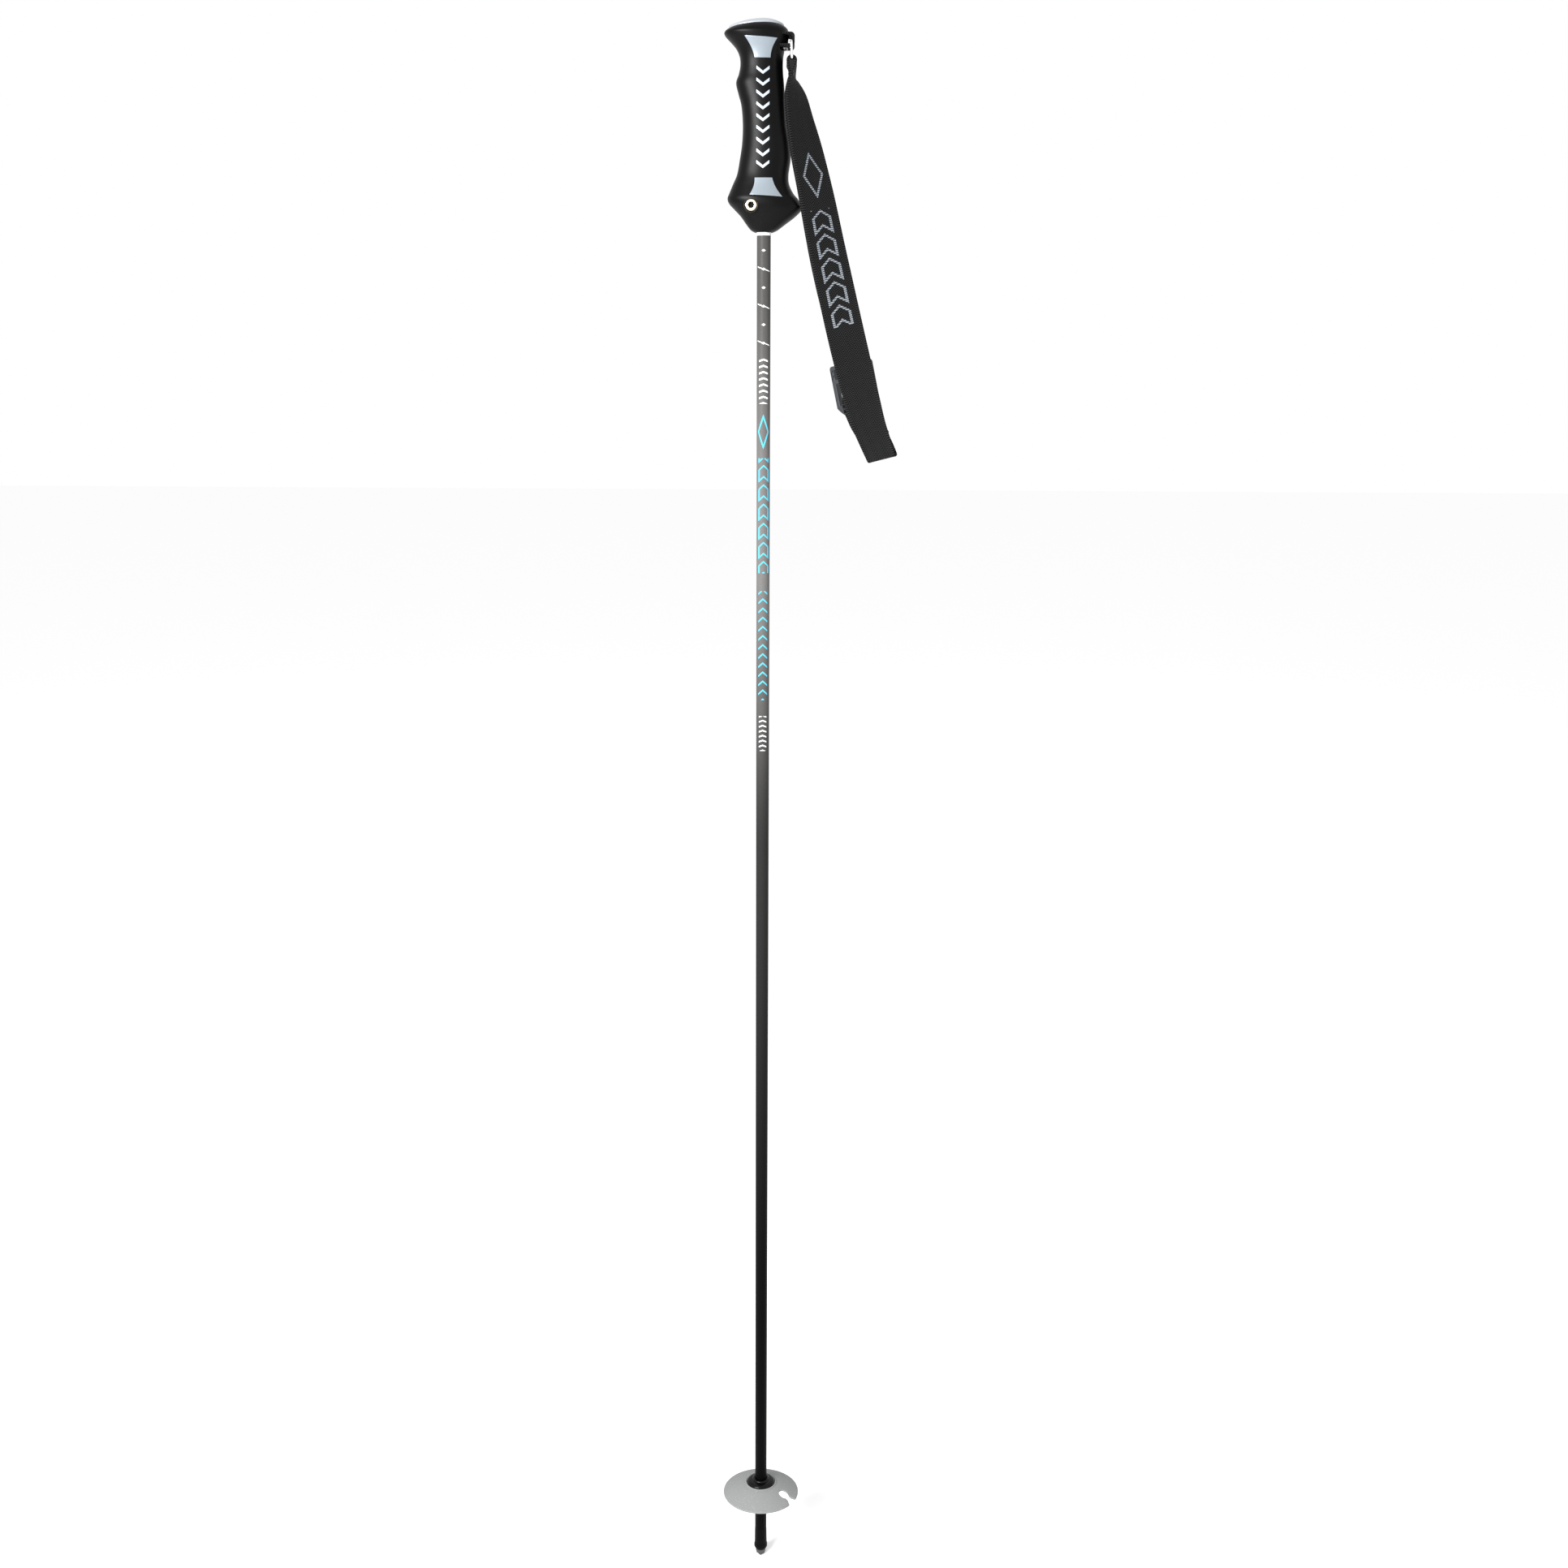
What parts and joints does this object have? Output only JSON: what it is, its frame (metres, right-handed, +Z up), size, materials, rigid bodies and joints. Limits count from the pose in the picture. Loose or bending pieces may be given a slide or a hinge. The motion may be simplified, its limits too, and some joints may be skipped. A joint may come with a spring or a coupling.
{
  "type": "ski pole",
  "caption": "Alpine ski pole with a composite shaft, moulded finger grip, adjustable wrist strap on a wire ring, round snow basket and toothed steel tip.",
  "frame": {"origin": "the point of the tip, on the shaft's axis, where the pole meets the ground", "axes": "+Z up the shaft, -X the finger side of the grip, +X the side that the strap hangs on, -Y the side with the clamp screw's head"},
  "size_m": [0.1351, 0.065, 1.27],
  "materials": {
    "composite": "satin lacquer over carbon composite, grey above and near black below",
    "core_plastic": "moulded nylon",
    "white_print": "gloss",
    "grip_rubber": "fine matte with a soft sheen",
    "screw_steel": "plated, satin",
    "silver_plate": "satin silver",
    "silver_inlay": "silver pearl, satin",
    "silver_print": "silver pearl, satin",
    "brass": "machined",
    "ring_wire": "polished",
    "webbing": "woven black polyester",
    "thread": "bonded thread",
    "buckle_plastic": "moulded acetal, dark grey",
    "hub_plastic": "gloss black",
    "dish_plastic": "moulded light grey",
    "ferrule_plastic": "satin black",
    "tip_steel": "dark sintered carbide and steel"
  },
  "bodies": {
    "pole": {"shaft": "composite", "shaft_plug": "core_plastic", "shaft_band": "white_print", "grip_body": "grip_rubber", "clamp_core": "core_plastic", "clamp_screw": "screw_steel", "clamp_nut": "screw_steel", "top_plate": "silver_plate", "upper_inlay_near": "silver_inlay", "upper_inlay_far": "silver_inlay", "lower_inlay_near": "silver_inlay", "lower_inlay_far": "silver_inlay", "side_graphic_near": "silver_print", "side_graphic_far": "silver_print", "ring_hanger": "webbing", "hanger_screw": "screw_steel", "hanger_insert": "brass", "basket_hub": "hub_plastic", "basket_lock_ring": "hub_plastic", "tip_ferrule": "ferrule_plastic", "tip_crown": "tip_steel"},
    "ring": {"strap_ring": "ring_wire"},
    "strap": {"wrist_webbing": "webbing", "ring_bartack": "thread", "buckle_bartack": "thread"},
    "buckle": {"buckle": "buckle_plastic", "strap_tail": "webbing"},
    "basket": {"basket_dish": "dish_plastic"}
  },
  "joints": [
    {"name": "ring_swing", "type": "hinge", "parent": "pole", "child": "ring", "pos_m": [0.0197, 0, 1.2522], "axis": [0, -1, 0], "range_deg": [0, 60]},
    {"name": "strap_swing", "type": "hinge", "parent": "ring", "child": "strap", "pos_m": [0.02021, 0, 1.24061], "axis": [0, -1, 0], "range_deg": [0, 75]},
    {"name": "buckle_tilt", "type": "hinge", "parent": "strap", "child": "buckle", "pos_m": [0.06687, 0.013, 1.02315], "axis": [0.7311, -0.6643, 0.1554], "range_deg": [0, 25]},
    {"name": "basket_spin", "type": "hinge", "parent": "pole", "child": "basket", "pos_m": [0, 0, 0.0695], "axis": [0, 0, 1], "continuous": true}
  ]
}
